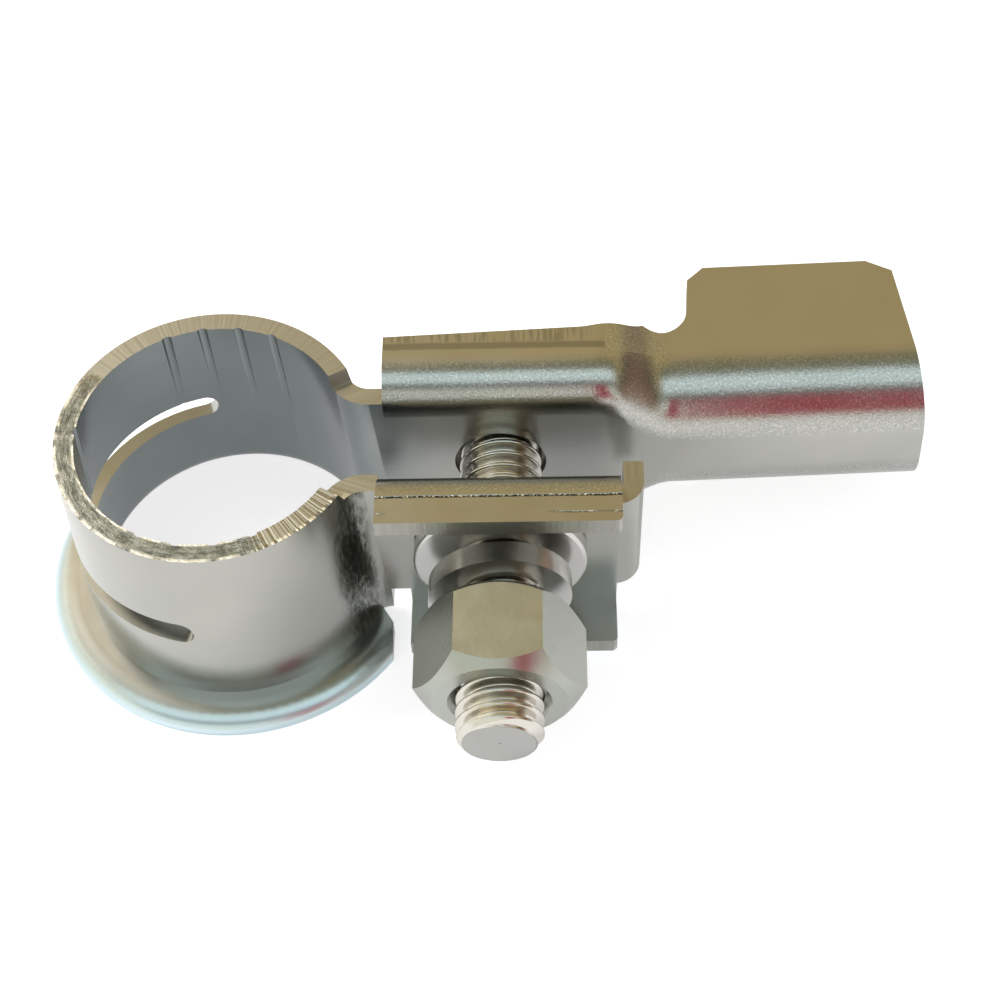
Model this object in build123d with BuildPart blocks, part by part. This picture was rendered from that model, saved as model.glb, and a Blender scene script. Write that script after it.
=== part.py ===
from build123d import *
from math import cos, radians, sin
import os

# A battery terminal clamp: a sheet ring for the post, two channel ears with a pinch bolt, and a wire barrel.
# Millimetres. +Z is up along the post, +X runs from the post ring to the wire barrel, +Y is the side of
# the bolt's head. The origin is where the ring's axis crosses the level of the bolt.

# Sheet and general values
sheet = 1.4
overrun = 3.0

# Post ring: a cone that narrows upwards as a battery post does, with a flange turned out at its foot
bore_top_radius = 9.2
post_taper = 1 / 9
ring_top = 7.9
ring_foot = -7.7
flange_radius = 14.2
rim_roll = 2.0
rim_drop = 1.1

# Relief slot round the back of the ring, lower on the far side, its faces leaning down outwards
slot_width = 2.0
slot_lean = 16.0
slot_level = -0.87
slot_tilt = 2.8
slot_start_angle = 105.5
slot_end_angle = 258.0

# Score lines inside the ring
score_angles = (66.5, 82.5, 98.5, 114.5, 178.5, 245.5, 261.5, 277.5, 293.5)
score_radius = 0.45
score_depth = 0.16
score_length = 13.5

# Necks between the ring and the ears
ear_gap = 6.0
neck_top = 6.85
neck_inside_round = 1.55
neck_step_angle = 28.0
neck_step_slope = 25.0
flange_end = 12.45
flange_slit_start = 10.75
flange_slit_depth = 2.7

# Channel ears
ear_start = 11.6
lower_lip_start = 13.0
ear_half_height = 8.35
ear_bend = 3.0
lip_reach = 8.05
front_ear_end = 27.9
front_lip_corner = 0.4
back_lip_reach = 8.5
back_lip_start_reach = 7.8
back_ear_straight_end = 25.5

# Stop tab, bent in from the end of the front ear
tab_face = 29.6
tab_tip = -0.85
tab_half_height = 5.0
tab_bend = 1.9

# Wire barrel, a channel that carries on from the back ear
barrel_start = 33.4
barrel_end = 50.0
barrel_half_height = 6.17
barrel_base = 3.15
barrel_bend = 4.7
wing_reach = 15.75
barrel_splay = 2.0
barrel_end_lean = 3.3
wing_end_setback = 1.35
wing_end_corner = 1.9
wing_end_depth = 0.5
wing_front_corner = 1.15
relief_centre_x = 30.95
relief_centre_y = 11.8
relief_radius = 2.25
arm_place_shares = (0.0, 0.06, 0.3, 0.5, 0.7, 0.94, 1.0)
arm_base_shares = (0.0, 0.01, 0.2, 0.5, 0.8, 0.99, 1.0)
arm_height_shares = (0.0, 0.002, 0.1, 0.5, 0.9, 0.998, 1.0)
arm_reach_shares = (0.0, 0.01, 0.06, 0.12, 0.3, 0.9, 1.0)

# Pinch bolt, an M6 with a square head that the back channel keeps from turning
bolt_place = 19.65
thread_radius = 2.95
bolt_length = 24.2
bolt_tip_chamfer = 0.45
head_side_room = 0.35
head_height = 4.0
head_corner_chamfer = 0.5
bolt_hole_radius = 3.3

# Flat washer, its rim resting on the bends inside the front ear's lips
washer_side_room = 0.9
washer_seat_gap = 0.08
washer_bore_radius = 3.2
washer_thickness = 1.4
washer_edge_round = 0.25

# Split spring washer, relaxed
spring_inner_radius = 3.1
spring_outer_radius = 4.95
spring_thickness = 1.55
spring_rise = 1.2
spring_back_gap = 0.7
spring_split_angle = 12.0
spring_split_place = 250.0

# Hex nut
nut_width = 10.1
nut_height = 6.7
nut_rest_gap = 4.22
nut_bore_clearance = 0.05
nut_corner_angle = 30.0
nut_cone_angle = 42.0
nut_face_radius = 4.55
nut_sink_radius = 3.5
nut_sink_depth = 0.5

# Places that follow from the sizes
wall_height = ring_top - ring_foot
bore_foot_radius = bore_top_radius + post_taper / 2 * wall_height
gap_half = ear_gap / 2
ear_back = gap_half + sheet
crease_radius = bore_foot_radius + sheet
head_width = 2 * (ear_half_height - ear_bend - head_side_room)
washer_radius = ear_half_height - sheet - washer_side_room
washer_back = -(ear_back + washer_seat_gap)
washer_front = washer_back - washer_thickness
nut_back = washer_front - nut_rest_gap
nut_front = nut_back - nut_height
ring_reach = flange_radius + overrun


def channel_outline(side, base, half_height, bend, reach):
    """A channel's section in its own Y and Z: a base, two rounded bends and two legs that point to one side."""
    Polyline(
        (side * base, half_height),
        (side * reach, half_height),
        (side * reach, half_height - sheet),
        (side * (base + sheet), half_height - sheet),
        (side * (base + sheet), sheet - half_height),
        (side * reach, sheet - half_height),
        (side * reach, -half_height),
        (side * base, -half_height),
        close=True,
    )


def channel_section(plane, side, base, half_height, bend, reach):
    """The same section as a face on a plane, its bends as wide outside as the sheet makes them."""
    with BuildSketch(plane) as section:
        with BuildLine():
            channel_outline(side, base, half_height, bend, reach)
        make_face()
        columns = section.vertices().group_by(Axis.X)
        outer = columns[0] if side > 0 else columns[-1]
        inner = columns[1] if side > 0 else columns[-2]
        fillet(outer, radius=bend)
        fillet(inner, radius=bend - sheet)
    return section.sketch


def upright_plane(angle):
    """A plane through the ring's axis whose X points outwards at an angle and whose Y points up."""
    outwards = (cos(radians(angle)), sin(radians(angle)), 0)
    return Plane(origin=(0, 0, 0), x_dir=outwards, z_dir=(sin(radians(angle)), -cos(radians(angle)), 0))


def wall_edges(part, height, distance):
    """The upright edges that run the whole wall and lie at a distance from the post's centre line."""
    return [
        edge for edge in part.edges()
        if edge.bounding_box().size.Z > height - sheet / 2
        and abs(abs(edge.center().Y) - distance) < sheet / 4
        and 0 < edge.center().X < ear_start - sheet / 2
    ]


def arm_section(place, base, height, reach):
    """The back arm's section, each size a share of the way from the ear's to the wire barrel's."""
    lean = radians(barrel_splay * base)
    centre = (back_ear_straight_end + place * (barrel_start - back_ear_straight_end), 0, 0)
    return channel_section(
        Plane(origin=centre, x_dir=(-sin(lean), cos(lean), 0), z_dir=(cos(lean), sin(lean), 0)),
        1,
        gap_half + base * (barrel_base - gap_half),
        ear_half_height + height * (barrel_half_height - ear_half_height),
        ear_bend + base * (barrel_bend - ear_bend),
        back_lip_reach + reach * (wing_reach - back_lip_reach),
    )


with BuildPart() as clamp_body:
    with Locations((0, 0, (ring_top + ring_foot) / 2)):
        Cone(crease_radius, bore_top_radius + sheet, wall_height)
    # The necks start as one block that runs out of the ring
    with BuildSketch(Plane.XY.offset(ring_foot)):
        with Locations((ear_start / 2, 0)):
            Rectangle(ear_start, 2 * ear_back)
    extrude(amount=wall_height)
    fillet(wall_edges(clamp_body, wall_height, ear_back), radius=neck_inside_round)
    with Locations((0, 0, (ring_top + ring_foot) / 2)):
        Cone(bore_foot_radius, bore_top_radius, wall_height, mode=Mode.SUBTRACT)
    with BuildSketch(Plane.XY.offset(ring_foot)):
        with Locations((ring_reach / 2, 0)):
            Rectangle(ring_reach, ear_gap)
    extrude(amount=wall_height, mode=Mode.SUBTRACT)
    fillet(wall_edges(clamp_body, wall_height, gap_half), radius=neck_inside_round + sheet)

    # The step where the ring's top drops to the necks, across the sheet and sloping
    with BuildSketch(Plane.XY.offset(neck_top)):
        with BuildLine():
            Polyline(
                (0, 0),
                (ring_reach * cos(radians(neck_step_angle)), -ring_reach * sin(radians(neck_step_angle))),
                (ring_reach * cos(radians(neck_step_angle)), ring_reach * sin(radians(neck_step_angle))),
                close=True,
            )
        make_face()
    extrude(amount=ring_top - neck_top, taper=-neck_step_slope, mode=Mode.SUBTRACT)

    # The flange at the foot: a sharp crease outside, a round bend inside and a rim that rolls over
    with BuildSketch(Plane.XZ):
        with BuildLine():
            Line((bore_foot_radius, ring_foot), (flange_radius - rim_roll, ring_foot))
            rim_centre = (flange_radius - rim_roll, ring_foot - rim_drop)
            EllipticalCenterArc(rim_centre, rim_roll, rim_drop, start_angle=0, arc_size=90)
            Line((flange_radius, ring_foot - rim_drop), (flange_radius, ring_foot - sheet))
            Line((flange_radius, ring_foot - sheet), (crease_radius, ring_foot - sheet))
            CenterArc((crease_radius, ring_foot), sheet, 180, 90)
        make_face()
    revolve(axis=Axis.Z)
    # It ends short of the ears, with a slit along each neck
    with BuildSketch(Plane.XY.offset(ring_foot)):
        with BuildLine():
            Polyline(
                (0, -gap_half),
                (flange_slit_start, -gap_half),
                (flange_slit_start, -ear_back),
                (flange_end, -ear_back - flange_slit_depth),
                (flange_end, -ring_reach),
                (ring_reach, -ring_reach),
                (ring_reach, ring_reach),
                (flange_end, ring_reach),
                (flange_end, ear_back + flange_slit_depth),
                (flange_slit_start, ear_back),
                (flange_slit_start, gap_half),
                (0, gap_half),
                close=True,
            )
        make_face()
    extrude(amount=-sheet, mode=Mode.SUBTRACT)

    # The relief slot round the ring's back, with round ends
    slot_middle = (bore_top_radius + crease_radius) / 2
    with BuildPart(mode=Mode.PRIVATE) as slot:
        with BuildSketch(upright_plane(slot_start_angle)):
            with Locations((slot_middle, slot_level)):
                Rectangle(2 * sheet, slot_width, rotation=-slot_lean)
        revolve(axis=Axis.Z, revolution_arc=slot_end_angle - slot_start_angle)
        for angle in (slot_start_angle, slot_end_angle):
            outwards = Vector(cos(radians(angle)), sin(radians(angle)), 0)
            leaning = outwards * cos(radians(slot_lean)) - Vector(0, 0, sin(radians(slot_lean)))
            start = outwards * slot_middle + Vector(0, 0, slot_level) - leaning * sheet
            with BuildSketch(Plane(origin=start, z_dir=leaning)):
                Circle(slot_width / 2)
            extrude(amount=2 * sheet)
    add(slot.part.rotate(Axis.X, -slot_tilt), mode=Mode.SUBTRACT)

    # Score lines pressed up the inside of the ring, which run out at their lower ends
    score_spread = post_taper / 2 - score_depth / score_length
    for angle in score_angles:
        outwards = Vector(cos(radians(angle)), sin(radians(angle)), 0)
        top = outwards * (bore_top_radius + score_depth - score_radius) + Vector(0, 0, ring_top)
        with BuildSketch(Plane(origin=top, z_dir=outwards * score_spread - Vector(0, 0, 1))):
            Circle(score_radius)
        extrude(amount=score_length, mode=Mode.SUBTRACT)

    # The front ear, a channel open to the front, with its corners eased
    front_ear = channel_section(Plane.YZ.offset(ear_start), -1, gap_half, ear_half_height, ear_bend, lip_reach)
    extrude(front_ear, amount=front_ear_end - ear_start)
    lip_corners = [
        edge for edge in clamp_body.edges().filter_by(Axis.Z)
        if edge.center().Y < sheet - lip_reach and edge.center().X > bolt_place
    ]
    fillet(lip_corners, radius=front_lip_corner)

    # The stop tab, the front ear's own wall bent in towards the back ear
    with BuildSketch(Plane.XY.offset(-tab_half_height)):
        with BuildLine():
            tab_root = tab_face - tab_bend
            tab_turn = tab_bend - ear_back
            Line((front_ear_end - ear_bend, -ear_back), (tab_root, -ear_back))
            CenterArc((tab_root, tab_turn), tab_bend, 270, 90)
            Line((tab_face, tab_turn), (tab_face, tab_tip))
            Line((tab_face, tab_tip), (tab_face - sheet, tab_tip))
            Line((tab_face - sheet, tab_tip), (tab_face - sheet, tab_turn))
            CenterArc((tab_root, tab_turn), tab_bend - sheet, 270, 90)
            Line((tab_root, -gap_half), (front_ear_end - ear_bend, -gap_half))
            Line((front_ear_end - ear_bend, -gap_half), (front_ear_end - ear_bend, -ear_back))
        make_face()
    extrude(amount=2 * tab_half_height)

    # The back ear and the arm that narrows and deepens into the wire barrel
    back_ear = channel_section(Plane.YZ.offset(ear_start), 1, gap_half, ear_half_height, ear_bend, back_lip_reach)
    extrude(back_ear, amount=back_ear_straight_end - ear_start)
    # Its lips start short beside the ring and widen towards the arm
    with BuildSketch(Plane.XY):
        with BuildLine():
            Polyline(
                (ear_start, back_lip_start_reach),
                (back_ear_straight_end, back_lip_reach),
                (ear_start, back_lip_reach),
                close=True,
            )
        make_face()
    extrude(amount=ear_half_height + overrun, both=True, mode=Mode.SUBTRACT)
    arm_shares = zip(arm_place_shares, arm_base_shares, arm_height_shares, arm_reach_shares)
    loft([arm_section(*shares).face() for shares in arm_shares])
    extrude(arm_section(1, 1, 1, 1), amount=barrel_end + overrun - barrel_start)

    # The round relief between lip and wing, and the wings' slanted ends and corners
    with BuildSketch(Plane.XY):
        with Locations((relief_centre_x, relief_centre_y)):
            Circle(relief_radius)
        with BuildLine():
            Polyline(
                (relief_centre_x - relief_radius, relief_centre_y),
                (relief_centre_x + relief_radius, relief_centre_y),
                (barrel_start, wing_reach - wing_front_corner),
                (barrel_start + wing_front_corner, wing_reach),
                (barrel_start + wing_front_corner, wing_reach + overrun),
                (relief_centre_x - relief_radius, wing_reach + overrun),
                close=True,
            )
        make_face()
    extrude(amount=ear_half_height, both=True, mode=Mode.SUBTRACT)
    with BuildSketch(Plane.XY.rotated((0, -barrel_end_lean, 0))):
        with BuildLine():
            Polyline(
                (barrel_end, barrel_base - overrun),
                (barrel_end, barrel_base),
                (barrel_end - wing_end_setback, wing_reach - wing_end_depth),
                (barrel_end - wing_end_setback - wing_end_corner, wing_reach + wing_end_depth),
                (barrel_end - wing_end_setback - wing_end_corner, wing_reach + overrun),
                (barrel_end + 2 * overrun, wing_reach + overrun),
                (barrel_end + 2 * overrun, barrel_base - overrun),
                close=True,
            )
        make_face()
    extrude(amount=2 * ear_half_height, both=True, mode=Mode.SUBTRACT)

    # The lower lips start later than the upper ones, clear of the flange
    for side in (1, -1):
        with BuildSketch(Plane.XY.offset(ear_bend - ear_half_height)):
            with Locations(((ear_start + lower_lip_start) / 2, side * (ear_back + lip_reach) / 2)):
                Rectangle(lower_lip_start - ear_start, lip_reach - ear_back + overrun)
        extrude(amount=-ear_half_height, mode=Mode.SUBTRACT)

    # The bolt's holes through both ears
    with BuildSketch(Plane.XZ):
        with Locations((bolt_place, 0)):
            Circle(bolt_hole_radius)
    extrude(amount=ear_back + overrun, both=True, mode=Mode.SUBTRACT)
clamp_body.part.label = "clamp_body"

with BuildPart() as clamp_bolt:
    # Square head against the back ear, then the shank out through both ears, its threads at their crest size
    with BuildSketch(Plane.XZ.offset(-ear_back)):
        with Locations((bolt_place, 0)):
            Rectangle(head_width, head_width)
    extrude(amount=-head_height)
    chamfer(clamp_bolt.edges().filter_by(Axis.Y), length=head_corner_chamfer)
    with BuildSketch(Plane.XZ.offset(-ear_back)):
        with Locations((bolt_place, 0)):
            Circle(thread_radius)
    extrude(amount=bolt_length)
    chamfer(clamp_bolt.edges().group_by(Axis.Y)[0], length=bolt_tip_chamfer)
clamp_bolt.part.label = "clamp_bolt"

with BuildPart() as flat_washer:
    with BuildSketch(Plane.XZ.offset(-washer_back)):
        with Locations((bolt_place, 0)):
            Circle(washer_radius)
            Circle(washer_bore_radius, mode=Mode.SUBTRACT)
    extrude(amount=washer_thickness)
    rims = flat_washer.edges().filter_by(GeomType.CIRCLE).sort_by(SortBy.RADIUS)[-2:]
    fillet(rims, radius=washer_edge_round)
flat_washer.part.label = "flat_washer"

with BuildPart() as spring_washer:
    # One open turn of square wire on a helix, its ends a rise apart
    wire_middle = (spring_inner_radius + spring_outer_radius) / 2
    wire_width = spring_outer_radius - spring_inner_radius
    turn_share = 1 - spring_split_angle / 360
    washer_plane = Plane(
        origin=(bolt_place, washer_front - spring_back_gap - spring_thickness / 2, 0),
        x_dir=(cos(radians(spring_split_place)), 0, sin(radians(spring_split_place))),
        z_dir=(0, -1, 0),
    )
    turn = washer_plane * Helix(pitch=spring_rise / turn_share, height=spring_rise, radius=wire_middle)
    with BuildSketch(Plane(origin=turn @ 0, x_dir=washer_plane.x_dir, z_dir=turn % 0)):
        Rectangle(wire_width, spring_thickness)
    sweep(path=turn, is_frenet=True)
spring_washer.part.label = "spring_washer"

with BuildPart() as hex_nut:
    with BuildSketch(Plane.XZ.offset(-nut_back)):
        with Locations((bolt_place, 0)):
            RegularPolygon(nut_width / 2, 6, major_radius=False)
    extrude(amount=nut_height)
    # Both faces are turned to a cone at the corners, and the bore is countersunk at both ends
    nut_corner = nut_width / 2 / cos(radians(nut_corner_angle))
    corner_drop = (nut_corner - nut_face_radius) * sin(radians(nut_cone_angle)) / cos(radians(nut_cone_angle))
    nut_half = nut_height / 2
    nut_bore = thread_radius + nut_bore_clearance
    nut_centre = (bolt_place, nut_back - nut_half, 0)
    with BuildSketch(Plane(origin=nut_centre)):
        with BuildLine():
            Polyline(
                (nut_bore, nut_half - nut_sink_depth),
                (nut_sink_radius, nut_half),
                (nut_face_radius, nut_half),
                (nut_corner, nut_half - corner_drop),
                (nut_corner, corner_drop - nut_half),
                (nut_face_radius, -nut_half),
                (nut_sink_radius, -nut_half),
                (nut_bore, nut_sink_depth - nut_half),
                close=True,
            )
        make_face()
    revolve(axis=Axis(nut_centre, (0, 1, 0)), mode=Mode.INTERSECT)
hex_nut.part.label = "hex_nut"

os.makedirs("parts", exist_ok=True)
for piece in (clamp_body, clamp_bolt, flat_washer, spring_washer, hex_nut):
    export_step(piece.part, f"parts/{piece.part.label}.step")
    size = piece.part.bounding_box()
    print(piece.part.label, round(piece.part.volume, 1), piece.part.is_valid, len(piece.part.solids()), size)
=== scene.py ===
# %% [markdown]
# # A battery terminal clamp in bright plated steel
# The clamp is one pressing of thick sheet with a bolt, two washers and a nut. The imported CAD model
# already holds every size, so this file adds what CAD leaves out: the plated finish with its drawing
# marks, the torn look of the sheared edges, and the real rolled thread of the bolt.

import math

import bpy
import numpy as np
from mathutils import Matrix, Vector


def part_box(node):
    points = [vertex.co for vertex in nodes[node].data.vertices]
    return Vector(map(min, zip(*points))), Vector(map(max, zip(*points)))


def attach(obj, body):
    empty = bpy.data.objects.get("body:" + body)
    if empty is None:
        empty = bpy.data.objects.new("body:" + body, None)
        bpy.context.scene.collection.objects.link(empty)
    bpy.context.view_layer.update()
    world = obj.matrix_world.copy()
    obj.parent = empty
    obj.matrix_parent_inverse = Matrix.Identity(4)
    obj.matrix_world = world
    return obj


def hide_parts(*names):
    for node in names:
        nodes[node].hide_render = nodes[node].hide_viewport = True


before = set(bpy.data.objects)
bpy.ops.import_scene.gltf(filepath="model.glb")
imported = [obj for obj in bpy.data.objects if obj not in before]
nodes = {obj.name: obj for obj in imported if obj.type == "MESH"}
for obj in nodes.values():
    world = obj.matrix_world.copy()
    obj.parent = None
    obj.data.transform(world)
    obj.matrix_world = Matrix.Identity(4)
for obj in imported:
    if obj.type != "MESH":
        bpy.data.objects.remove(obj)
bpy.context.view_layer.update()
mm = 0.001
for name, node in sorted(nodes.items()):
    low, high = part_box(name)
    print(name, len(node.data.polygons), "faces,", [round(x / mm, 2) for x in high - low], "mm")

# %% [markdown]
# ## Places read from the frame
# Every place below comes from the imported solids, so the new pieces stay on them when a size changes.
# The bolt's axis runs along Y. Its head sits in the back channel, and its tip points to the camera.

# %% Places
bolt_low, bolt_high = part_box("clamp_bolt")
bolt_x = (bolt_low.x + bolt_high.x) / 2
floor_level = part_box("clamp_body")[0].z
print("bolt axis at x", round(bolt_x / mm, 2), "floor at z", round(floor_level / mm, 2))

# %% [markdown]
# ## Camera
# The photograph looks down on the clamp from the front at 54.7 degrees, from quite near. The camera
# is turned to that azimuth and elevation, rolled a little, and shifted by half a percent of the frame.

# %% Camera
azimuth, elevation, roll = math.radians(2.315), math.radians(54.721), math.radians(-2.716)
target = Vector((20.0, 0.0, 0.0)) * mm
distance = 129.155 * mm
picture_size = 1001
focal_pixels = 1809.95
centre_x, centre_y = 505.54, 494.90

towards = Vector(
    (math.sin(azimuth) * math.cos(elevation), -math.cos(azimuth) * math.cos(elevation), math.sin(elevation))
)
level_right = (-towards).cross(Vector((0, 0, 1))).normalized()
level_up = level_right.cross(-towards)
right = math.cos(roll) * level_right + math.sin(roll) * level_up
up = math.cos(roll) * level_up - math.sin(roll) * level_right

camera_data = bpy.data.cameras.new("photo_camera")
camera = bpy.data.objects.new("photo_camera", camera_data)
bpy.context.scene.collection.objects.link(camera)
camera_turn = Matrix((right, up, towards)).transposed().to_4x4()
camera.matrix_world = Matrix.Translation(target + towards * distance) @ camera_turn
camera_data.sensor_width = 36.0
camera_data.lens = focal_pixels / picture_size * camera_data.sensor_width
camera_data.shift_x = -(centre_x - picture_size / 2) / picture_size
camera_data.shift_y = (centre_y - picture_size / 2) / picture_size
camera_data.clip_start = 5 * mm
camera_data.clip_end = 20.0
bpy.context.scene.camera = camera
bpy.context.scene.view_settings.view_transform = "Standard"
print("lens", round(camera_data.lens, 2), "mm")

# %% [markdown]
# ## Helpers for node materials
# A material is a small graph. One helper makes a node and sets its sockets, another links a chain of
# them, so each finish below reads as a list of what it adds to the metal.


# %% Node helpers
def add_node(tree, kind, inputs=None, **settings):
    """A node of a kind, with its settings and its sockets' values or links given by name or number."""
    node = tree.nodes.new(kind)
    for key, value in settings.items():
        setattr(node, key, value)
    for key, value in (inputs or {}).items():
        if isinstance(value, bpy.types.NodeSocket):
            tree.links.new(value, node.inputs[key])
        else:
            node.inputs[key].default_value = value
    return node


def math_node(tree, operation, *values, clamp=False):
    """The result of one sum, product or other operation on numbers or links."""
    node = add_node(tree, "ShaderNodeMath", dict(enumerate(values)), operation=operation)
    node.use_clamp = clamp
    return node.outputs[0]


def ramp_node(tree, value, stops, interpolation="LINEAR"):
    """A colour read off a row of (place, colour) stops."""
    node = add_node(tree, "ShaderNodeValToRGB", {0: value})
    node.color_ramp.interpolation = interpolation
    elements = node.color_ramp.elements
    while len(elements) < len(stops):
        elements.new(0.5)
    for element, (place, colour) in zip(elements, stops):
        element.position = place
        element.color = (*colour, 1.0)
    return node.outputs[0]


def new_material(name):
    """An empty node material with its output."""
    material = bpy.data.materials.new(name)
    material.use_nodes = True
    material.node_tree.nodes.clear()
    output = material.node_tree.nodes.new("ShaderNodeOutputMaterial")
    return material, material.node_tree, output


# %% [markdown]
# ## Floor and background
# The floor is pale and matt. It adds a little light of its own towards the camera, and less of it
# towards reflections, so it comes out white and still keeps the clamp's soft shadow.

# %% Floor
floor_side = 3.0
floor_glow = 0.68
floor_glow_reflected = 0.62
bpy.ops.mesh.primitive_grid_add(x_subdivisions=2, y_subdivisions=2, size=floor_side)
floor = bpy.context.object
floor.name = "pale_floor"
floor.location = (target.x, 0, floor_level)


def seen_or_reflected(tree, reflected_share):
    """1 for rays from the camera and through glass, a share for reflections, and 0 for the rest."""
    path = tree.nodes.new("ShaderNodeLightPath")
    reflected = math_node(tree, "MULTIPLY", path.outputs["Is Glossy Ray"], reflected_share)
    both = math_node(tree, "MAXIMUM", path.outputs["Is Camera Ray"], reflected)
    return math_node(tree, "MAXIMUM", both, path.outputs["Is Transmission Ray"])


floor_finish, tree, output = new_material("pale_matt_floor")
matt = add_node(tree, "ShaderNodeBsdfDiffuse", {"Color": (0.80, 0.80, 0.81, 1)})
glow_strength = math_node(tree, "MULTIPLY", seen_or_reflected(tree, floor_glow_reflected), floor_glow)
glow = add_node(tree, "ShaderNodeEmission", {"Color": (1.0, 0.995, 1.0, 1), "Strength": glow_strength})
glowing = add_node(tree, "ShaderNodeAddShader", {0: matt.outputs[0], 1: glow.outputs[0]})
tree.links.new(glowing.outputs[0], output.inputs["Surface"])
floor.data.materials.append(floor_finish)

# %% [markdown]
# ## World and lamps
# The world is white where it is seen or reflected and softer as light. One large soft lamp, high on the
# left and behind the clamp, gives the shadow its direction.

# %% World and lamps
room_seen = 1.0
room_light = 0.55
world = bpy.data.worlds.new("white_room")
bpy.context.scene.world = world
world.use_nodes = True
tree = world.node_tree
background = tree.nodes["Background"]
background.inputs["Color"].default_value = (1.0, 1.0, 1.0, 1)
seen = seen_or_reflected(tree, reflected_share=1.0)
strength = math_node(tree, "MULTIPLY_ADD", seen, room_seen - room_light, room_light)
tree.links.new(strength, background.inputs["Strength"])


def soft_lamp(name, place, aim, size, power, colour):
    """A square area lamp at a place that looks at a point."""
    data = bpy.data.lights.new(name, "AREA")
    data.shape = "SQUARE"
    data.size = size
    data.energy = power
    data.color = colour
    lamp = bpy.data.objects.new(name, data)
    bpy.context.scene.collection.objects.link(lamp)
    lamp.location = place
    lamp.rotation_mode = "QUATERNION"
    lamp.rotation_quaternion = (Vector(aim) - Vector(place)).to_track_quat("-Z", "Y")
    lamp.visible_camera = False
    return lamp


key = soft_lamp("soft_key", (-0.35, 0.25, 0.55), target, size=0.35, power=3.2, colour=(1.0, 0.98, 0.95))
print(key.name, "at", [round(v, 2) for v in key.location], "m")

# %% [markdown]
# ## The light tent
# Plated metal has hardly any colour of its own: what it shows is the room. A product photographer
# builds that room as a tent of cloth panels. The tent is an arch along X, and its panels go
# from cream at the front through grey, pale blue and olive to tan at the back, as the bends of the real
# clamp show. Only reflections see it, so it neither lights the floor nor hides the background.

# %% Light tent
tent_radius = 0.30
tent_length = 0.90


def arch_grid(radius, length, across, along):
    """Points of a half cylinder along X: angle runs from the front horizon over the top to the back."""
    angle = np.linspace(0, math.pi, across)[:, None]
    x = np.linspace(-length / 2, length / 2, along)[None, :]
    ones = np.ones_like(x)
    return np.stack([x + 0 * angle, -radius * np.cos(angle) * ones, radius * np.sin(angle) * ones], axis=-1)


def grid_mesh(name, points, closed_around=False):
    """A mesh object from a grid of points, its columns joined round when closed_around is set."""
    rows, columns = points.shape[:2]
    index = np.arange(rows * columns).reshape(rows, columns)
    right_column = np.roll(index, -1, axis=1) if closed_around else index[:, 1:]
    left_column = index if closed_around else index[:, :-1]
    faces = np.stack([left_column[:-1], right_column[:-1], right_column[1:], left_column[1:]], axis=-1)
    mesh = bpy.data.meshes.new(name)
    mesh.from_pydata(points.reshape(-1, 3).tolist(), [], faces.reshape(-1, 4).tolist())
    mesh.shade_smooth()
    made = bpy.data.objects.new(name, mesh)
    bpy.context.scene.collection.objects.link(made)
    return made


def only_reflected(made):
    """Hides a piece from the camera, from soft light and from shadows, so that only reflections see it."""
    made.visible_camera = False
    made.visible_diffuse = False
    made.visible_shadow = False


tent = grid_mesh("light_tent", arch_grid(tent_radius, tent_length, across=65, along=9))
tent.location = (target.x, 0, floor_level)
only_reflected(tent)
tent_cloth, tree, output = new_material("tent_panels")
place = add_node(tree, "ShaderNodeTexCoord").outputs["Object"]
parts = add_node(tree, "ShaderNodeSeparateXYZ", {0: place})
front = math_node(tree, "MULTIPLY", parts.outputs["Y"], -1.0)
angle = math_node(tree, "ARCTAN2", parts.outputs["Z"], front)
share = math_node(tree, "DIVIDE", angle, math.pi)
panel_stops = [
    (0.000, (0.95, 0.92, 0.80)),
    (0.060, (0.95, 0.94, 0.84)),
    (0.130, (1.00, 1.04, 0.96)),
    (0.205, (0.78, 0.82, 0.76)),
    (0.250, (0.22, 0.24, 0.23)),
    (0.285, (0.24, 0.26, 0.25)),
    (0.315, (1.05, 1.22, 1.26)),
    (0.440, (1.08, 1.28, 1.32)),
    (0.480, (0.30, 0.30, 0.22)),
    (0.580, (0.34, 0.30, 0.18)),
    (0.650, (0.60, 0.47, 0.24)),
    (0.720, (0.68, 0.53, 0.26)),
    (0.860, (0.60, 0.49, 0.27)),
    (1.000, (0.40, 0.36, 0.28)),
]
panels = ramp_node(tree, share, panel_stops, "EASE")
glow = add_node(tree, "ShaderNodeEmission", {"Color": panels, "Strength": 1.0})
tree.links.new(glow.outputs[0], output.inputs["Surface"])
tent.data.materials.append(tent_cloth)
print("tent radius", tent_radius, "m")

# %% [markdown]
# ## Cards in the tent
# The tent's two ends are closed with cards: a warm one on the right, which colours the steep side of the
# arm, and a pale one on the left. A red card stands along the front on the right. A bend shows a wide
# part of the room as a narrow band, so this card becomes one stripe along the barrel.


# %% Cards
def tent_card(name, points, height, stops):
    """A glowing card that only reflections see; its colour is read from the stops, upwards over a height."""
    made = grid_mesh(name, points)
    only_reflected(made)
    paper, tree, output = new_material(name + "_paper")
    place = add_node(tree, "ShaderNodeTexCoord").outputs["Object"]
    level = add_node(tree, "ShaderNodeSeparateXYZ", {0: place}).outputs["Z"]
    above_floor = math_node(tree, "SUBTRACT", level, floor_level)
    share = math_node(tree, "DIVIDE", above_floor, height, clamp=True)
    cloud = add_node(tree, "ShaderNodeTexNoise", {"Vector": place, "Scale": 60.0, "Detail": 1.0}).outputs[0]
    strength = math_node(tree, "MULTIPLY_ADD", cloud, 0.5, 0.75)
    paper_colour = ramp_node(tree, share, stops)
    glow = add_node(tree, "ShaderNodeEmission", {"Color": paper_colour, "Strength": strength})
    tree.links.new(glow.outputs[0], output.inputs["Surface"])
    made.data.materials.append(paper)


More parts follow.
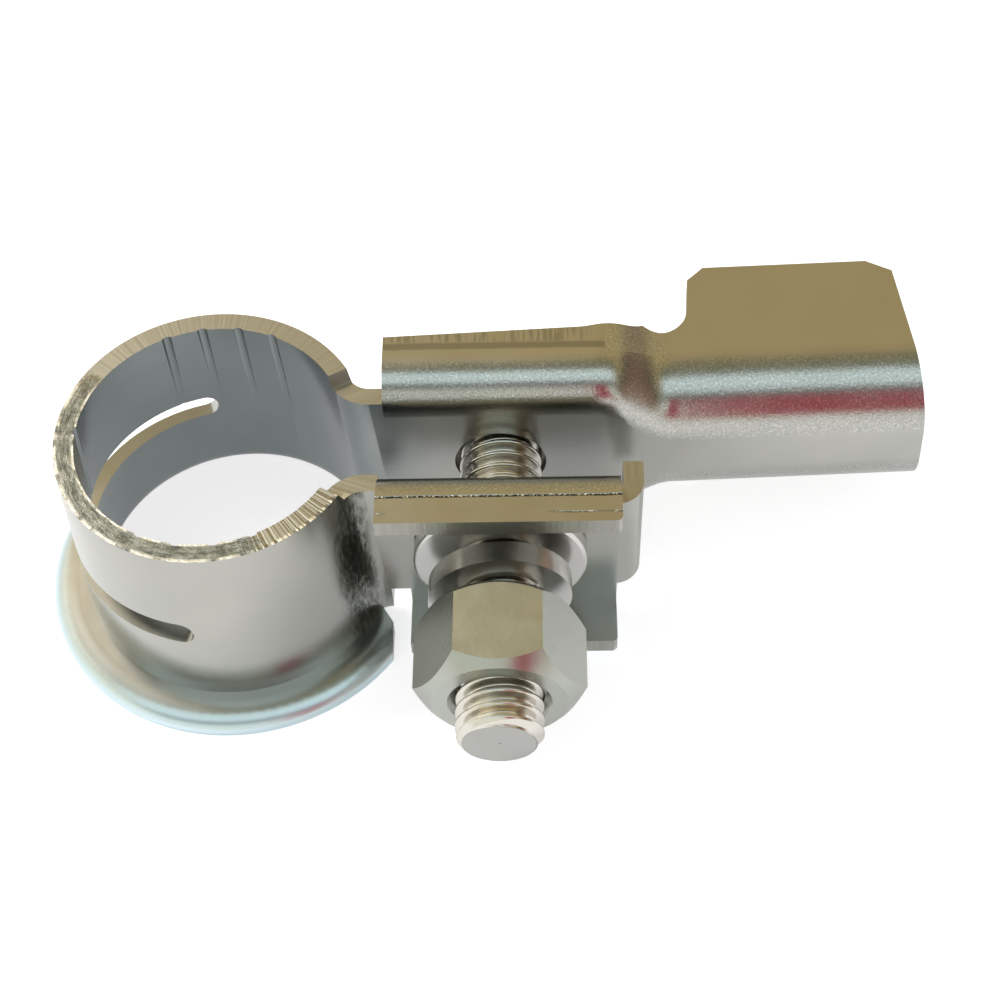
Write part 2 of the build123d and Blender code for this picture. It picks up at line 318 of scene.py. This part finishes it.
def half_disc(x, radius, rows, around):
    """Grid of an upright half disc across X: each row is a half circle of a larger radius."""
    reach = np.linspace(0.001, radius, rows)[:, None]
    angle = np.linspace(0, math.pi, around)[None, :]
    upwards = floor_level + reach * np.sin(angle)
    return np.stack([x + 0 * reach * angle, reach * np.cos(angle), upwards], axis=-1)


def upright_card(x_low, x_high, y, low, high):
    """Grid of an upright card that faces along Y, between two levels."""
    return np.array([[[x_low, y, low], [x_high, y, low]], [[x_low, y, high], [x_high, y, high]]])


warm_stops = [
    (0.00, (0.60, 0.50, 0.42)),
    (0.22, (0.42, 0.28, 0.20)),
    (0.34, (0.34, 0.18, 0.12)),
    (0.50, (0.10, 0.10, 0.08)),
    (0.75, (0.52, 0.42, 0.22)),
    (1.00, (0.60, 0.48, 0.25)),
]
pale_stops = [(0.0, (1.10, 1.08, 0.98)), (0.5, (1.20, 1.14, 0.96)), (1.0, (0.75, 0.66, 0.44))]
red_stops = [(0.0, (0.52, 0.050, 0.090)), (1.0, (0.46, 0.045, 0.080))]
end_card_place = 0.30
warm_end = half_disc(target.x + end_card_place, tent_radius, rows=6, around=24)
pale_end = half_disc(target.x - end_card_place, tent_radius, rows=6, around=24)
red_front = upright_card(x_low=0.046, x_high=0.105, y=-0.13, low=0.012, high=0.125)
tent_card("warm_end_card", warm_end, tent_radius, warm_stops)
tent_card("pale_end_card", pale_end, tent_radius, pale_stops)
tent_card("red_front_card", red_front, 0.130, red_stops)
print("end cards", end_card_place, "m to each side")

# %% [markdown]
# ## Where the sheet was sheared
# A press shears the blank before it is bent, so the sheet's narrow edges are torn and dull while its
# faces stay bright. The CAD mesh doesn't say which faces are edges, but their places do: the ring's
# top, the ends of the lips and wings, and the tab. The mark is kept as an attribute on the faces.


# %% Sheared edges and bends as attributes
def face_arrays(mesh):
    """Centres and normals of all faces, as two arrays."""
    count = len(mesh.polygons)
    centres, normals = np.empty(count * 3), np.empty(count * 3)
    mesh.polygons.foreach_get("center", centres)
    mesh.polygons.foreach_get("normal", normals)
    return centres.reshape(-1, 3) / mm, normals.reshape(-1, 3)


def face_attribute(mesh, name, values):
    """Stores one number a face, for the materials to read."""
    kept = mesh.attributes.new(name, "FLOAT", "FACE")
    kept.data.foreach_set("value", np.asarray(values, np.float32))


sheet = nodes["clamp_body"].data
centre, normal = face_arrays(sheet)
x, y, z = centre.T
nx, ny, nz = normal.T
neck_end = 11.65
lip_end = 7.7
tab_start = 28.1
tab_low, tab_high = 4.5, 5.5
ring_top_level = 6.6
ring_top_edge = (nz > 0.8) & (z > ring_top_level) & (x < neck_end)
lip_edges = (np.abs(ny) > 0.9) & (np.abs(y) > lip_end) & (x > neck_end)
end_edges = (np.abs(nx) > 0.8) & (x > neck_end - 0.2)
tab_edge = (nz > 0.9) & (x > tab_start) & (y < -0.8) & (z > tab_low) & (z < tab_high)
sheared = ring_top_edge | lip_edges | end_edges | tab_edge
bends = (np.abs(nz) > 0.12) & (np.abs(nz) < 0.985) & (x > neck_end)

# %% [markdown]
# Four more marks are kept the same way: the ring's top edge, the faces that look inwards to the post or
# into the gap, the upright faces that look outwards, and the flat tops of the lips. The material then
# fades each one along the sheet by its place, because a mark that ended with a face would be jagged.

# %% Ring edge, inward faces, outward faces and lip tops as attributes
wall_reach = 10.9
gap_end = 34
wall_end = 12
flange_top = -8.0
lip_top_level = 7.95
outwards = nx * x + ny * y
inward = (outwards < -0.5) & (np.abs(nz) < 0.6) & (np.abs(y) < wall_reach) & (x < gap_end)
outward = (outwards > 0) & (np.abs(nz) < 0.3) & (x < wall_end) & (z > flange_top)
lip_tops = (nz > 0.98) & (z > lip_top_level) & (x > neck_end)
marks = {
    "sheared": sheared,
    "bend": bends,
    "ring_edge": ring_top_edge,
    "inward": inward,
    "outward": outward,
    "lip_top": lip_tops,
}
for name, faces in marks.items():
    face_attribute(sheet, name, faces)
    print(name, int(faces.sum()), "of", len(faces), "faces")

# %% [markdown]
# ## Bright plating on the sheet
# The plating is metal all through, so the shader is fully metallic, and the interest is in its gloss
# and its relief. Three sizes of relief are added: a soft wave from the press, an orange peel that is
# stronger on the bends where the sheet was stretched, and fine scratches along the drawing direction.
# The sheared edges take their own rough relief, with serrations across the sheet.


# %% Plated sheet
def noise(tree, vector, scale, detail=2.0, roughness=0.5):
    """Noise from 0 to 1 at a number of waves a metre."""
    inputs = {"Vector": vector, "Scale": scale, "Detail": detail, "Roughness": roughness}
    return add_node(tree, "ShaderNodeTexNoise", inputs).outputs[0]


def stretched(tree, vector, scales):
    """A place vector stretched by three factors, so that a noise read with it forms streaks."""
    return add_node(tree, "ShaderNodeVectorMath", {0: vector, 1: scales}, operation="MULTIPLY").outputs[0]


def mixed(tree, share, low, high):
    """A number between two, by a share."""
    return add_node(tree, "ShaderNodeMix", {0: share, 2: low, 3: high}, data_type="FLOAT").outputs[0]


def mixed_colour(tree, share, low, high):
    """A colour between two, by a share."""
    return add_node(tree, "ShaderNodeMix", {0: share, 6: low, 7: high}, data_type="RGBA").outputs[2]


def attribute(tree, name):
    """A face attribute as a number."""
    return add_node(tree, "ShaderNodeAttribute", attribute_name=name).outputs["Fac"]


def eased(tree, value, low, high):
    """0 up to one value, 1 from another on, and a smooth rise between them."""
    return add_node(
        tree, "ShaderNodeMapRange", {0: value, 1: low, 2: high}, interpolation_type="SMOOTHSTEP"
    ).outputs[0]


def band(tree, value, middle, core, fade):
    """1 within core of a middle value, falling smoothly to 0 at fade from it."""
    away = math_node(tree, "ABSOLUTE", math_node(tree, "SUBTRACT", value, middle))
    return math_node(tree, "SUBTRACT", 1.0, eased(tree, away, core, fade))


def all_of(tree, *shares):
    """The product of some shares: 1 only where all of them are 1."""
    result = shares[0]
    for share in shares[1:]:
        result = math_node(tree, "MULTIPLY", result, share)
    return result


def metal_surface(tree, output, colour, gloss, height):
    """Fully metallic shading with a colour, a gloss and a relief whose height is given in millimetres."""
    bump = add_node(tree, "ShaderNodeBump", {"Strength": 1.0, "Distance": mm, "Height": height})
    inputs = {"Base Color": colour, "Metallic": 1.0, "Roughness": gloss, "Normal": bump.outputs[0]}
    shader = add_node(tree, "ShaderNodeBsdfPrincipled", inputs)
    tree.links.new(shader.outputs[0], output.inputs["Surface"])


plated_sheet, tree, output = new_material("bright_plated_sheet")
place = add_node(tree, "ShaderNodeTexCoord").outputs["Object"]
bend = attribute(tree, "bend")
edge = attribute(tree, "sheared")
around = add_node(tree, "ShaderNodeSeparateXYZ", {0: place})
along_x, along_y, along_z = around.outputs
cloud = noise(tree, place, 160.0, 2.0)
wave = noise(tree, place, 90.0, 1.0)
peel = noise(tree, place, 6500.0, 3.0, 0.6)
grain = noise(tree, stretched(tree, place, (0.15, 0.15, 1.0)), 5200.0, 2.0)
print("plated sheet: wave, peel and grain")

# %% [markdown]
# The ring's edge is read in its own coordinates: the angle round the post and the distance from it. The
# shears tore its left and front, where it is grey with a bright burr on both rims, and left fine teeth
# on the part that runs up to the front neck.

# %% Sheared edges of the ring and lips
ring_outside = 10.5
outer_rim_start, outer_rim_full = 10.28 * mm, 10.46 * mm
inner_rim_full, inner_rim_end = 9.26 * mm, 9.42 * mm
torn_middle = math.radians(-138)
teeth_middle = math.radians(-50)
turn = math_node(tree, "ARCTAN2", along_y, along_x)
flat_place = stretched(tree, place, (1, 1, 0))
from_post = add_node(tree, "ShaderNodeVectorMath", {0: flat_place}, operation="LENGTH").outputs[1]
arc = math_node(tree, "MULTIPLY", turn, ring_outside * mm)
short_z = math_node(tree, "MULTIPLY", along_z, 0.1)
short_arc = math_node(tree, "MULTIPLY", arc, 0.35)
ring_place = add_node(tree, "ShaderNodeCombineXYZ", {0: arc, 1: short_z}).outputs[0]
tear_place = add_node(tree, "ShaderNodeCombineXYZ", {0: short_arc, 1: from_post}).outputs[0]
lip_place = stretched(tree, place, (1.0, 0.1, 0.12))
on_ring = math_node(tree, "LESS_THAN", along_x, neck_end * mm)
edge_place = add_node(
    tree, "ShaderNodeMix", {0: on_ring, 4: lip_place, 5: ring_place}, data_type="VECTOR"
).outputs[1]
tooth = noise(tree, edge_place, 3600.0, 1.0)
tear = noise(tree, tear_place, 2300.0, 4.0, 0.7)
towards_torn = math_node(tree, "COSINE", math_node(tree, "SUBTRACT", turn, torn_middle))
ragged = math_node(tree, "MULTIPLY_ADD", tear, 0.3, towards_torn)
torn = all_of(tree, attribute(tree, "ring_edge"), eased(tree, ragged, 0.42, 0.58))
towards_teeth = math_node(tree, "COSINE", math_node(tree, "SUBTRACT", turn, teeth_middle))
toothed = all_of(tree, attribute(tree, "ring_edge"), eased(tree, towards_teeth, 0.88, 0.97))
outer_rim = eased(tree, from_post, outer_rim_start, outer_rim_full)
inner_rim = math_node(tree, "SUBTRACT", 1.0, eased(tree, from_post, inner_rim_full, inner_rim_end))
rims = math_node(tree, "ADD", outer_rim, inner_rim, clamp=True)
burr = all_of(tree, torn, rims, eased(tree, noise(tree, ring_place, 900.0, 3.0), 0.38, 0.52))
tooth_height = math_node(tree, "MULTIPLY", tooth, mixed(tree, toothed, 0.014, 0.09))
tear_height = math_node(tree, "MULTIPLY", tear, mixed(tree, torn, 0.006, 0.11))
rough_edge = math_node(tree, "ADD", tooth_height, tear_height)
plain_edge_colour = mixed_colour(tree, tooth, (0.31, 0.31, 0.28, 1), (0.44, 0.43, 0.38, 1))
tooth_crest = eased(tree, tooth, 0.42, 0.58)
tooth_colour = mixed_colour(tree, tooth_crest, (0.20, 0.19, 0.16, 1), (0.90, 0.89, 0.82, 1))
tooth_mix = mixed_colour(tree, all_of(tree, toothed, outer_rim), plain_edge_colour, tooth_colour)
tear_crest = eased(tree, tear, 0.32, 0.70)
torn_colour = mixed_colour(tree, tear_crest, (0.13, 0.14, 0.13, 1), (0.40, 0.42, 0.40, 1))
torn_mix = mixed_colour(tree, torn, tooth_mix, torn_colour)
edge_colour = mixed_colour(tree, burr, torn_mix, (0.84, 0.85, 0.82, 1))
print("ring edge torn round", round(math.degrees(torn_middle)), "degrees")
print("ring edge toothed round", round(math.degrees(teeth_middle)), "degrees")

# %% [markdown]
# The die leaves its own marks: a hatched fold where the ring turns into each neck, a scored line
# along the front lip and a dull stripe along the back lip. The fold's dark colour is painted shade. The bore
# is darker and bluer than the outside, and the gap between the ears is a little darker: both are painted
# shade. The flange is paler and bluer as a painted reflection, and more satin. A fine speckle of bright
# grains and dark pits covers the bends.

# %% Die marks, painted shade in the fold, bore and gap, and the flange's painted reflection
score_y = -5.95
faint_score_y = -7.3
dull_stripe_y = 6.9
fold_x, fold_y = 9.7, 5.6
hatch = noise(tree, stretched(tree, place, (1.0, 1.0, 0.35)), 3200.0, 2.0)
beside = math_node(tree, "ABSOLUTE", along_y)
fold = all_of(
    tree,
    attribute(tree, "outward"),
    band(tree, along_x, fold_x * mm, 0.4 * mm, 1.5 * mm),
    band(tree, beside, fold_y * mm, 1.2 * mm, 2.4 * mm),
)
along_lip = noise(tree, stretched(tree, place, (1, 0, 0)), 700.0, 2.0)
wander = math_node(tree, "MULTIPLY_ADD", along_lip, 0.16 * mm, -0.08 * mm)
lip_y = math_node(tree, "ADD", along_y, wander)
lip_top = attribute(tree, "lip_top")
scored = all_of(tree, lip_top, band(tree, lip_y, score_y * mm, 0.03 * mm, 0.13 * mm))
faint_line = band(tree, lip_y, faint_score_y * mm, 0.02 * mm, 0.10 * mm)
faint = all_of(tree, lip_top, faint_line, eased(tree, cloud, 0.45, 0.6))
dull = all_of(tree, lip_top, band(tree, lip_y, dull_stripe_y * mm, 0.16 * mm, 0.42 * mm))
lip_run = math_node(tree, "SUBTRACT", 1.0, eased(tree, along_x, 24.0 * mm, 28.0 * mm))
ribs = all_of(
    tree, lip_top, lip_run, eased(tree, along_y, 7.15 * mm, 7.35 * mm), eased(tree, tooth, 0.45, 0.6)
)
gap_run = math_node(tree, "SUBTRACT", 1.0, eased(tree, along_x, 26.0 * mm, 29.5 * mm))
inward = all_of(tree, attribute(tree, "inward"), gap_run)
past_neck = eased(tree, math_node(tree, "MULTIPLY_ADD", cloud, 3 * mm, along_x), 10.5 * mm, 17.0 * mm)
walls_colour = mixed_colour(tree, cloud, (0.40, 0.405, 0.375, 1), (0.48, 0.475, 0.44, 1))
below_bolt = math_node(tree, "MULTIPLY", along_z, -1.0)
low_down = eased(tree, below_bolt, 7.6 * mm, 8.4 * mm)
past_wall = eased(tree, from_post, 10.9 * mm, 11.5 * mm)
flange_share = all_of(tree, low_down, past_wall)
# painted reflection: the flange is coloured a pale blue
outside_and_flange_reflection = mixed_colour(tree, flange_share, walls_colour, (0.64, 0.77, 0.82, 1))
# painted shade: the bore is coloured darker and bluer than the outside, standing in for the shade inside the
# ring
bore_painted_shade = mixed_colour(tree, cloud, (0.225, 0.25, 0.255, 1), (0.31, 0.34, 0.345, 1))
# painted shade: the faces in the gap between the ears are coloured a little darker than the outside
gap_painted_shade = mixed_colour(tree, cloud, (0.36, 0.365, 0.34, 1), (0.46, 0.46, 0.43, 1))
inward_painted_shade = mixed_colour(tree, past_neck, bore_painted_shade, gap_painted_shade)
open_colour = mixed_colour(tree, inward, outside_and_flange_reflection, inward_painted_shade)
hatch_crest = eased(tree, hatch, 0.30, 0.70)
# painted shade: the concave fold where the ring meets each neck is coloured dark, broken up by the hatch
fold_painted_shade = mixed_colour(tree, hatch_crest, (0.11, 0.115, 0.10, 1), (0.34, 0.34, 0.31, 1))
folded_colour = mixed_colour(tree, fold, open_colour, fold_painted_shade)
dull_share = math_node(tree, "MULTIPLY", dull, 0.55)
striped_colour = mixed_colour(tree, dull_share, folded_colour, (0.16, 0.16, 0.14, 1))
rib_share = math_node(tree, "MULTIPLY", ribs, 0.45)
ribbed_colour = mixed_colour(tree, rib_share, striped_colour, (0.18, 0.17, 0.14, 1))
line_colour = mixed_colour(tree, eased(tree, peel, 0.5, 0.62), (0.05, 0.05, 0.04, 1), (0.95, 0.95, 0.90, 1))
line_share = math_node(tree, "ADD", scored, math_node(tree, "MULTIPLY", faint, 0.6), clamp=True)
lined_colour = mixed_colour(tree, line_share, ribbed_colour, line_colour)
glitter = all_of(tree, bend, eased(tree, peel, 0.54, 0.64), 0.26)
glittered_colour = mixed_colour(tree, glitter, lined_colour, (0.92, 0.93, 0.90, 1))
pits = all_of(tree, bend, math_node(tree, "SUBTRACT", 1.0, eased(tree, peel, 0.36, 0.45)), 0.25)
face_colour = mixed_colour(tree, pits, glittered_colour, (0.12, 0.12, 0.11, 1))
print("marks: fold, scored line, faint line, dull stripe, ribs, glitter, pits, bore and gap")

# %% Plated sheet put together
peel_height = math_node(tree, "MULTIPLY", peel, mixed(tree, bend, 0.0016, 0.012))
smooth_face = math_node(tree, "ADD", peel_height, math_node(tree, "MULTIPLY", grain, 0.0016))
hatch_height = math_node(tree, "MULTIPLY", hatch, math_node(tree, "MULTIPLY", fold, 0.05))
waved_face = math_node(tree, "MULTIPLY_ADD", wave, 0.16, smooth_face)
scored_face = math_node(tree, "MULTIPLY_ADD", line_share, -0.05, waved_face)
face_height = math_node(tree, "ADD", scored_face, hatch_height)
height = mixed(tree, edge, face_height, rough_edge)
face_gloss = mixed(tree, noise(tree, place, 400.0, 3.0), 0.17, 0.27)
flange_gloss = mixed(tree, flange_share, face_gloss, 0.34)
gloss = mixed(tree, edge, flange_gloss, 0.30)
colour = mixed_colour(tree, edge, face_colour, edge_colour)
metal_surface(tree, output, colour, gloss, height)
print("plated sheet:", len(tree.nodes), "nodes")

# %% [markdown]
# ## Satin plating on the nut and washers
# The small parts are barrel plated: they tumble together, so their faces are satin and finely dented
# rather than mirror bright.


# %% Satin plating
def satin_plating(name, colour_low, colour_high, gloss_low, gloss_high, relief):
    """A metallic finish with tumbling marks: small dents, a fine grain and a gloss that varies."""
    material, tree, output = new_material(name)
    place = add_node(tree, "ShaderNodeTexCoord").outputs["Object"]
    dents = noise(tree, place, 900.0, 3.0, 0.6)
    grain = noise(tree, place, 6500.0, 2.0)
    height = math_node(tree, "MULTIPLY_ADD", dents, relief, math_node(tree, "MULTIPLY", grain, 0.003))
    gloss = mixed(tree, noise(tree, place, 700.0, 3.0), gloss_low, gloss_high)
    colour = mixed_colour(tree, noise(tree, place, 350.0, 3.0), colour_low, colour_high)
    metal_surface(tree, output, colour, gloss, height)
    return material


plated_nut = satin_plating(
    "satin_plated_nut",
    colour_low=(0.39, 0.41, 0.37, 1),
    colour_high=(0.48, 0.50, 0.45, 1),
    gloss_low=0.24,
    gloss_high=0.34,
    relief=0.014,
)
plated_washer = satin_plating(
    "satin_plated_washers",
    colour_low=(0.58, 0.58, 0.56, 1),
    colour_high=(0.70, 0.69, 0.66, 1),
    gloss_low=0.20,
    gloss_high=0.30,
    relief=0.012,
)
plated_bolt = satin_plating(
    "bright_plated_thread",
    colour_low=(0.60, 0.58, 0.53, 1),
    colour_high=(0.76, 0.73, 0.66, 1),
    gloss_low=0.14,
    gloss_high=0.24,
    relief=0.006,
)
cut_tip = satin_plating(
    "dull_bolt_tip",
    colour_low=(0.34, 0.34, 0.32, 1),
    colour_high=(0.46, 0.46, 0.44, 1),
    gloss_low=0.30,
    gloss_high=0.42,
    relief=0.012,
)
print("satin finishes: nut, washers, bolt and bolt tip")

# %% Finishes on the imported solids
finishes = {
    "clamp_body": (plated_sheet, "plated_sheet"),
    "clamp_bolt": (plated_bolt, "plated_bolt"),
    "flat_washer": (plated_washer, "plated_washer"),
    "spring_washer": (plated_washer, "plated_washer"),
    "hex_nut": (plated_nut, "plated_nut"),
}
for name, (material, slot) in finishes.items():
    nodes[name].data.materials.clear()
    nodes[name].data.materials.append(material)

# %% [markdown]
# ## The bolt's thread
# The thread is the piece that CAD leaves plain. It is one surface: the angle runs round the axis, the
# second parameter runs along it, and the radius falls and rises once each pitch as the ridge winds up.

# %% Threaded shank
pitch = 1.0 * mm
crest_radius = 2.95 * mm
root_radius = 2.36 * mm
crest_share = 0.16
root_share = 0.22
tip_radius = 2.5 * mm
head_height = 4.0 * mm
shank_start = bolt_high.y - head_height
shank_end = bolt_low.y
flank_roundness = 0.35


def thread_radius(angle, along):
    """Radius of the ridge: each pitch has a flat crest, a slightly rounded flank, a root and a flank back."""
    phase = np.mod(along / pitch - angle / (2 * math.pi), 1.0)
    from_crest = np.abs(phase - 0.5) * 2
    flank = np.clip((from_crest - crest_share) / (1 - crest_share - root_share), 0, 1)
    rounded = flank * flank * (3 - 2 * flank)
    fall = rounded * flank_roundness + flank * (1 - flank_roundness)
    return crest_radius + (root_radius - crest_radius) * fall


def threaded_shank(around, each_pitch):
    """Grid of the shank from under the head to the flat tip; the tip's chamfer cuts the ridge off."""
    steps = int((shank_start - shank_end) / pitch * each_pitch)
    along = np.linspace(0, shank_start - shank_end, steps)[:, None]
    angle = np.linspace(0, 2 * math.pi, around, endpoint=False)[None, :]
    from_tip = (shank_start - shank_end) - along
    radius = np.minimum(thread_radius(angle, along), tip_radius + from_tip)
    axis_y = shank_start - along + 0 * angle
    side = np.stack([bolt_x + radius * np.cos(angle), axis_y, radius * np.sin(angle)], axis=-1)
    shares = np.array([0.94, 0.7, 0.4, 0.02])[:, None]
    tip = np.minimum(radius[-1:], tip_radius) * shares
    face = np.stack([bolt_x + tip * np.cos(angle), shank_end + 0 * tip, tip * np.sin(angle)], axis=-1)
    return np.concatenate([side, face], axis=0)


shank = grid_mesh("bolt_thread", threaded_shank(around=96, each_pitch=20), closed_around=True)
shank.data.materials.append(plated_bolt)
shank.data.materials.append(cut_tip)
face_y = face_arrays(shank.data)[0][:, 1]
on_tip = face_y < shank_end / mm + 0.02
shank.data.polygons.foreach_set("material_index", on_tip.astype(np.int32))
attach(shank, "clamp")
print("thread faces", len(shank.data.polygons))

# %% [markdown]
# ## The bolt's head
# The square head was pressed, so its corners and edges are round. A superellipse gives that shape in
# one formula: a circle raised to a high power is nearly a square, and its edge rolls over into the faces.


# %% Square head
def square_head(width, height, around):
    """A rounded square block: each row is a superellipse, drawn in near the two faces to round the edge."""
    angle = np.linspace(0, 2 * math.pi, around, endpoint=False)[None, :]
    power = 2 / 9
    cos, sin = np.cos(angle), np.sin(angle)
    across = np.sign(cos) * np.abs(cos) ** power
    upright = np.sign(sin) * np.abs(sin) ** power
    edge = 0.35 * mm
    turn = np.linspace(0, math.pi / 2, 6)
    rise = edge * (1 - np.cos(turn))
    draw = edge * (1 - np.sin(turn))
    middle = [width / 2 * 0.98]
    inset = np.concatenate([middle, draw, rise, middle])
    level = np.concatenate([[0], rise, height - draw, [height]])
    reach = (width / 2 - inset)[:, None]
    along = shank_start + level[:, None] + 0 * across
    return np.stack([bolt_x + reach * across, along, reach * upright], axis=-1)


head_points = square_head(bolt_high.x - bolt_low.x, head_height, around=96)
head = grid_mesh("bolt_head", head_points, closed_around=True)
head.data.materials.append(plated_bolt)
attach(head, "clamp")
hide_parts("clamp_bolt")
print("head faces", len(head.data.polygons))
